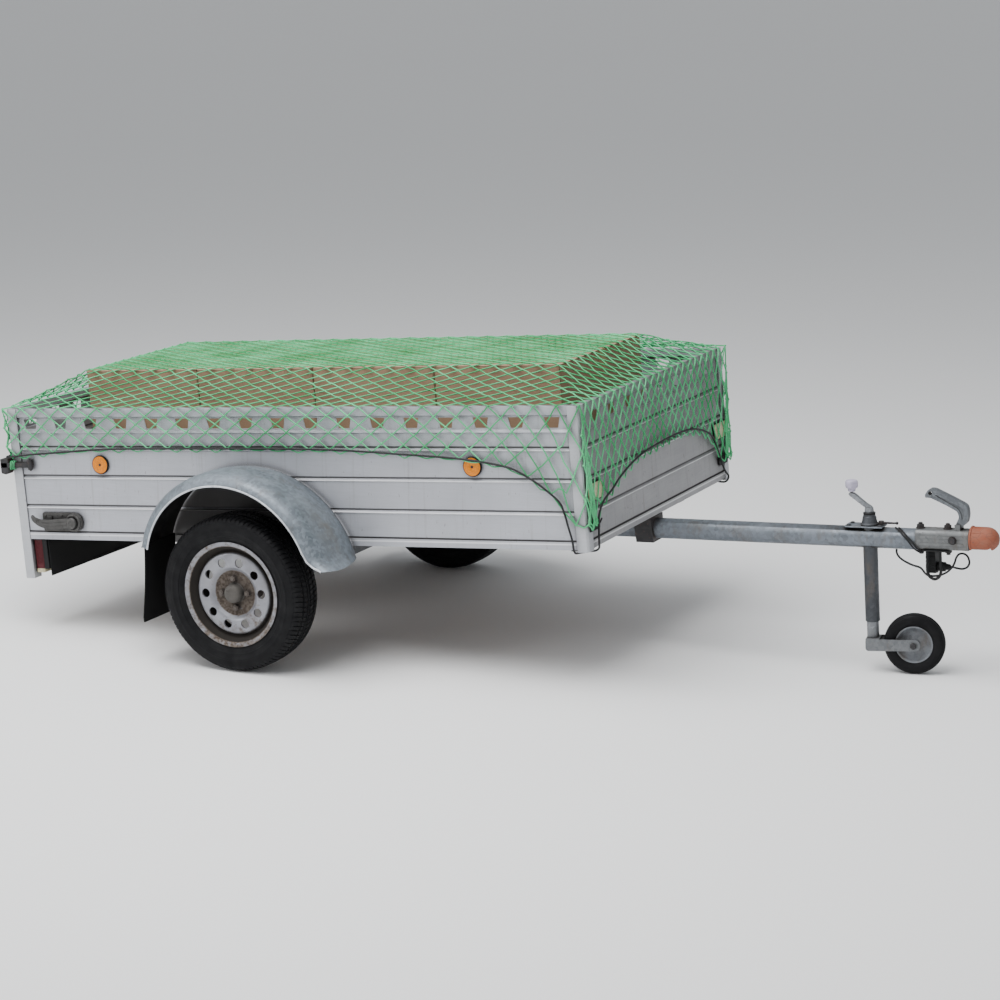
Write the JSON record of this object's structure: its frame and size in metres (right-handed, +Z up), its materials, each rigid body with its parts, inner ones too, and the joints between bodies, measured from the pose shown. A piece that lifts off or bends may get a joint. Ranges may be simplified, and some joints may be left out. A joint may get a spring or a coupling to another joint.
{
  "type": "cargo trailer with lashed net",
  "caption": "Single-axle box trailer standing on its jockey wheel, with boxed cargo held in the bed by a lashed net.",
  "frame": {"origin": "bottom centre of the bounding box, on the ground it stands on", "axes": "+X forward to the coupling, +Y to the trailer's left, +Z up; the bed is pitched nose-up about Y"},
  "size_m": [3.4826, 1.76, 1.034],
  "materials": {
    "aluminium_planks": "satin bluish grey, streaked with road dirt",
    "aluminium_posts": "satin anodised",
    "galvanised_steel": "dull spangled galvanising",
    "dark_steel": "black",
    "wheel_steel": "silver paint, rusty at the edge",
    "zinc": "yellowish zinc plate",
    "tyre_rubber": "worn",
    "black_rubber": "matt",
    "black_plastic": "matt",
    "white_plastic": "slightly lilac white",
    "faded_orange": "sun-faded orange red",
    "lamp_red": "ribbed lens",
    "amber_lens": "prismatic reflector",
    "plywood": "brown film-faced",
    "cardboard": "plain brown",
    "net_twine": "green polypropylene twine"
  },
  "bodies": {
    "chassis": {"right_wall": "aluminium_planks", "rear_right_post": "aluminium_posts", "front_right_post": "aluminium_posts", "right_frame_rail": "galvanised_steel", "rear_lamp_right": "lamp_red", "rear_right_reflector": "amber_lens", "front_right_reflector": "amber_lens", "right_mudguard": "galvanised_steel", "right_mud_flap": "black_rubber", "right_cam_latch_base": "zinc", "left_wall": "aluminium_planks", "rear_left_post": "aluminium_posts", "front_left_post": "aluminium_posts", "left_frame_rail": "galvanised_steel", "rear_lamp_left": "lamp_red", "rear_left_reflector": "amber_lens", "front_left_reflector": "amber_lens", "left_mudguard": "galvanised_steel", "left_mud_flap": "black_rubber", "left_cam_latch_base": "zinc", "front_wall": "aluminium_planks", "floor_panel": "plywood", "drawbar_crossmember": "dark_steel", "lamp_board": "black_plastic", "axle_beam": "galvanised_steel", "drawbar_tube": "galvanised_steel", "jockey_outer_tube": "galvanised_steel", "coupling_body": "galvanised_steel", "coupling_bumper_cap": "faded_orange", "plug_parking_socket": "black_plastic", "trailer_plug": "black_plastic", "trailer_lead": "black_rubber", "carton_1": "cardboard", "carton_2": "cardboard", "carton_3": "cardboard", "carton_4": "cardboard", "cargo_net": "net_twine", "net_edge_rope": "black_rubber"},
    "tailgate": {"tailgate": "aluminium_planks"},
    "right_suspension_arm": {"right_trailing_arm": "galvanised_steel"},
    "right_road_wheel": {"right_hub": "galvanised_steel", "right_rim": "wheel_steel", "right_tyre": "tyre_rubber"},
    "right_corner_latch": {"right_corner_latch": "dark_steel"},
    "right_cam_lever": {"right_cam_latch_lever": "zinc"},
    "left_suspension_arm": {"left_trailing_arm": "galvanised_steel"},
    "left_road_wheel": {"left_hub": "galvanised_steel", "left_rim": "wheel_steel", "left_tyre": "tyre_rubber"},
    "left_corner_latch": {"left_corner_latch": "dark_steel"},
    "left_cam_lever": {"left_cam_latch_lever": "zinc"},
    "jockey_leg": {"jockey_inner_tube": "galvanised_steel"},
    "jockey_swivel": {"jockey_fork": "galvanised_steel"},
    "jockey_wheel": {"jockey_wheel_rim": "galvanised_steel", "jockey_tyre": "tyre_rubber"},
    "jockey_crank": {"jockey_crank": "zinc", "jockey_crank_knob": "white_plastic"},
    "jockey_clamp": {"jockey_clamp_lever": "dark_steel"},
    "coupling_handle": {"coupling_handle": "zinc"},
    "coupling_jaw": {"coupling_jaw": "dark_steel"}
  },
  "joints": [
    {"name": "tailgate_hinge", "type": "hinge", "parent": "chassis", "child": "tailgate", "pos_m": [-1.68561, 0, 0.32284], "axis": [0, -1, 0], "range_deg": [0, 90], "deforming": ["cargo_net", "net_edge_rope"]},
    {"name": "right_arm_swing", "type": "hinge", "parent": "chassis", "child": "right_suspension_arm", "pos_m": [-0.52612, -0.66, 0.32774], "axis": [0, 1, 0], "range_deg": [-10, 12], "stiffness_Nm_per_rad": 2600, "springref_deg": -5.44},
    {"name": "right_wheel_spin", "type": "hinge", "parent": "right_suspension_arm", "child": "right_road_wheel", "pos_m": [-0.66236, -0.774, 0.26909], "axis": [0, 1, 0], "continuous": true},
    {"name": "right_corner_latch_swing", "type": "hinge", "parent": "chassis", "child": "right_corner_latch", "pos_m": [-1.61707, -0.628, 0.60431], "axis": [-0.0698, 0, 0.9976], "range_deg": [0, 140]},
    {"name": "right_cam_lever_turn", "type": "hinge", "parent": "chassis", "child": "right_cam_lever", "pos_m": [-1.43996, -0.64, 0.40819], "axis": [0, 1, 0], "range_deg": [0, 95]},
    {"name": "left_arm_swing", "type": "hinge", "parent": "chassis", "child": "left_suspension_arm", "pos_m": [-0.52612, 0.66, 0.32774], "axis": [0, 1, 0], "range_deg": [-10, 12], "stiffness_Nm_per_rad": 2600, "springref_deg": -5.44},
    {"name": "left_wheel_spin", "type": "hinge", "parent": "left_suspension_arm", "child": "left_road_wheel", "pos_m": [-0.66236, 0.774, 0.26909], "axis": [0, 1, 0], "continuous": true},
    {"name": "left_corner_latch_swing", "type": "hinge", "parent": "chassis", "child": "left_corner_latch", "pos_m": [-1.61707, 0.628, 0.60431], "axis": [0.0698, 0, -0.9976], "range_deg": [0, 140]},
    {"name": "left_cam_lever_turn", "type": "hinge", "parent": "chassis", "child": "left_cam_lever", "pos_m": [-1.43996, 0.64, 0.40819], "axis": [0, 1, 0], "range_deg": [0, 95]},
    {"name": "jockey_leg_slide", "type": "slide", "parent": "chassis", "child": "jockey_leg", "axis": [0.0445, 0, -0.999], "range_m": [-0.03, 0.15]},
    {"name": "jockey_crank_turn", "type": "hinge", "parent": "chassis", "child": "jockey_crank", "pos_m": [1.30114, 0, 0.5461], "axis": [-0.0445, 0, 0.999], "range_deg": [-2701, 13501]},
    {"name": "jockey_swivel_turn", "type": "hinge", "parent": "jockey_leg", "child": "jockey_swivel", "pos_m": [1.32119, 0, 0.09579], "axis": [-0.0445, 0, 0.999], "continuous": true},
    {"name": "jockey_wheel_spin", "type": "hinge", "parent": "jockey_swivel", "child": "jockey_wheel", "pos_m": [1.45598, 0.02379, 0.10179], "axis": [-0.1735, 0.9848, -0.0077], "continuous": true},
    {"name": "jockey_clamp_turn", "type": "hinge", "parent": "chassis", "child": "jockey_clamp", "pos_m": [1.34288, 0, 0.50792], "axis": [-0.0445, 0, 0.999], "range_deg": [-80, 80]},
    {"name": "coupling_handle_lift", "type": "hinge", "parent": "chassis", "child": "coupling_handle", "pos_m": [1.60766, 0, 0.51871], "axis": [0, 1, 0], "range_deg": [0, 38]},
    {"name": "coupling_jaw_slide", "type": "slide", "parent": "chassis", "child": "coupling_jaw", "axis": [-0.999, 0, -0.0445], "range_m": [0, 0.006]}
  ],
  "couplings": [
    {"joint": "jockey_crank_turn", "follows": "jockey_leg_slide", "rad_per_m": 1570.8},
    {"joint": "coupling_jaw_slide", "follows": "coupling_handle_lift", "m_per_rad": 0.009046}
  ]
}
